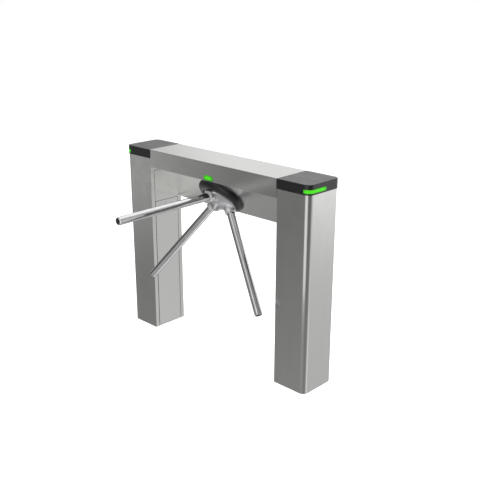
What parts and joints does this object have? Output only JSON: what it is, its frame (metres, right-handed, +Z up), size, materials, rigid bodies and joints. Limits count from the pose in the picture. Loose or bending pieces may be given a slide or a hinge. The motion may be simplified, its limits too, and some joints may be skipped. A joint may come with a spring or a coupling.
{
  "type": "tripod turnstile",
  "caption": "Floor-standing tripod turnstile: posts with lit black caps, a sloped beam and a motorised rotor of angled arms behind a round bezel.",
  "frame": {"origin": "on the floor, midway between the posts and midway between their front and rear faces", "axes": "+Z up; +X along the beam, from the left post to the right one; -Y towards the passage side, where the arms reach out"},
  "size_m": [1.2268, 0.7309, 0.98],
  "materials": {
    "stainless_sheet": "brushed stainless sheet",
    "zinc_plate": "zinc-plated steel",
    "fasteners": "zinc-plated fasteners",
    "lock_chrome": "chromed lock barrels",
    "black_abs": "fine-grained black ABS",
    "green_light": "lit green acrylic",
    "polished_casting": "polished, bright-plated casting",
    "polished_tube": "polished stainless tube",
    "machined_steel": "machined and oiled",
    "cast_housing": "as-cast, bores machined",
    "motor_paint": "black paint",
    "encoder_plastic": "moulded",
    "circuit_board": "green solder mask",
    "control_box": "light grey moulded box",
    "supply_box": "pressed aluminium case"
  },
  "bodies": {
    "frame": {"post_shell_left": "stainless_sheet", "post_shell_right": "stainless_sheet", "base_plate_left": "zinc_plate", "base_plate_right": "zinc_plate", "upper_panel_left": "stainless_sheet", "upper_panel_right": "stainless_sheet", "cap_left": "black_abs", "cap_right": "black_abs", "cap_light_left": "green_light", "cap_light_right": "green_light", "reader_boards": "circuit_board", "beam_shell": "stainless_sheet", "beam_end_left": "zinc_plate", "beam_end_right": "zinc_plate", "beam_bolts": "fasteners", "hinge_brackets": "zinc_plate", "bezel": "black_abs", "bezel_screws": "fasteners", "indicator_lens": "green_light", "mech_plate": "zinc_plate", "bearing_housing": "cast_housing", "shaft_bearings": "machined_steel", "bearing_retainer": "machined_steel", "spacer_pillars": "zinc_plate", "carrier_plate": "zinc_plate", "drive_motor": "motor_paint", "encoder": "encoder_plastic", "lock_solenoids": "motor_paint", "control_unit": "control_box", "power_supply": "supply_box"},
    "rotor": {"rotor_shaft": "machined_steel", "rotor_gear": "machined_steel", "index_disc": "machined_steel", "shaft_nut": "zinc_plate", "hub": "polished_casting", "hub_bolt": "fasteners", "hub_cap": "polished_casting", "arm_1": "polished_tube", "arm_2": "polished_tube", "arm_3": "polished_tube", "arm_caps": "polished_tube", "arm_screws": "fasteners"},
    "motor_pinion": {"motor_pinion": "machined_steel"},
    "encoder_pinion": {"encoder_pinion": "machined_steel"},
    "lock_bolt_left": {"lock_bolt_left": "machined_steel"},
    "lock_bolt_right": {"lock_bolt_right": "machined_steel"},
    "door_left": {"post_door_left": "stainless_sheet", "door_lock_left": "lock_chrome"},
    "door_right": {"post_door_right": "stainless_sheet", "door_lock_right": "lock_chrome"},
    "door_cam_left": {"door_cam_left": "zinc_plate"},
    "door_cam_right": {"door_cam_right": "zinc_plate"},
    "service_panel": {"service_panel": "stainless_sheet", "panel_locks": "lock_chrome"},
    "panel_cam_left": {"panel_cam_left": "zinc_plate"},
    "panel_cam_right": {"panel_cam_right": "zinc_plate"}
  },
  "joints": [
    {"name": "rotor_spin", "type": "hinge", "parent": "frame", "child": "rotor", "pos_m": [0, -0.01006, 0.80006], "axis": [0, -0.7071, -0.7071], "continuous": true},
    {"name": "motor_pinion_spin", "type": "hinge", "parent": "frame", "child": "motor_pinion", "pos_m": [-0.07148, -0.02361, 0.81361], "axis": [0, -0.7071, -0.7071], "continuous": true},
    {"name": "encoder_pinion_spin", "type": "hinge", "parent": "frame", "child": "encoder_pinion", "pos_m": [0.07534, -0.02434, 0.81434], "axis": [0, -0.7071, -0.7071], "continuous": true},
    {"name": "lock_bolt_left_slide", "type": "slide", "parent": "frame", "child": "lock_bolt_left", "axis": [0.5, 0.6124, -0.6124], "range_m": [0, 0.009], "stiffness_N_per_m": 150, "springref_m": -0.01},
    {"name": "lock_bolt_right_slide", "type": "slide", "parent": "frame", "child": "lock_bolt_right", "axis": [-0.5, 0.6124, -0.6124], "range_m": [0, 0.009], "stiffness_N_per_m": 150, "springref_m": -0.01},
    {"name": "door_left_hinge", "type": "hinge", "parent": "frame", "child": "door_left", "pos_m": [-0.435, 0.06, 0.35], "axis": [0, 0, 1], "range_deg": [0, 90]},
    {"name": "door_right_hinge", "type": "hinge", "parent": "frame", "child": "door_right", "pos_m": [0.435, 0.06, 0.35], "axis": [0, 0, -1], "range_deg": [0, 90]},
    {"name": "door_cam_left_turn", "type": "hinge", "parent": "door_left", "child": "door_cam_left", "pos_m": [-0.428, 0, 0.6735], "axis": [-1, 0, 0], "range_deg": [0, 90]},
    {"name": "door_cam_right_turn", "type": "hinge", "parent": "door_right", "child": "door_cam_right", "pos_m": [0.428, 0, 0.6735], "axis": [-1, 0, 0], "range_deg": [0, 90]},
    {"name": "service_panel_hinge", "type": "hinge", "parent": "frame", "child": "service_panel", "pos_m": [0, 0.094, 0.942], "axis": [1, 0, 0], "range_deg": [0, 90]},
    {"name": "panel_cam_left_turn", "type": "hinge", "parent": "service_panel", "child": "panel_cam_left", "pos_m": [-0.3, 0.101, 0.7475], "axis": [0, 1, 0], "range_deg": [0, 90]},
    {"name": "panel_cam_right_turn", "type": "hinge", "parent": "service_panel", "child": "panel_cam_right", "pos_m": [0.3, 0.101, 0.7475], "axis": [0, 1, 0], "range_deg": [0, 90]}
  ],
  "couplings": [
    {"joint": "motor_pinion_spin", "follows": "rotor_spin", "ratio": -2.7},
    {"joint": "encoder_pinion_spin", "follows": "rotor_spin", "ratio": -2.25}
  ]
}
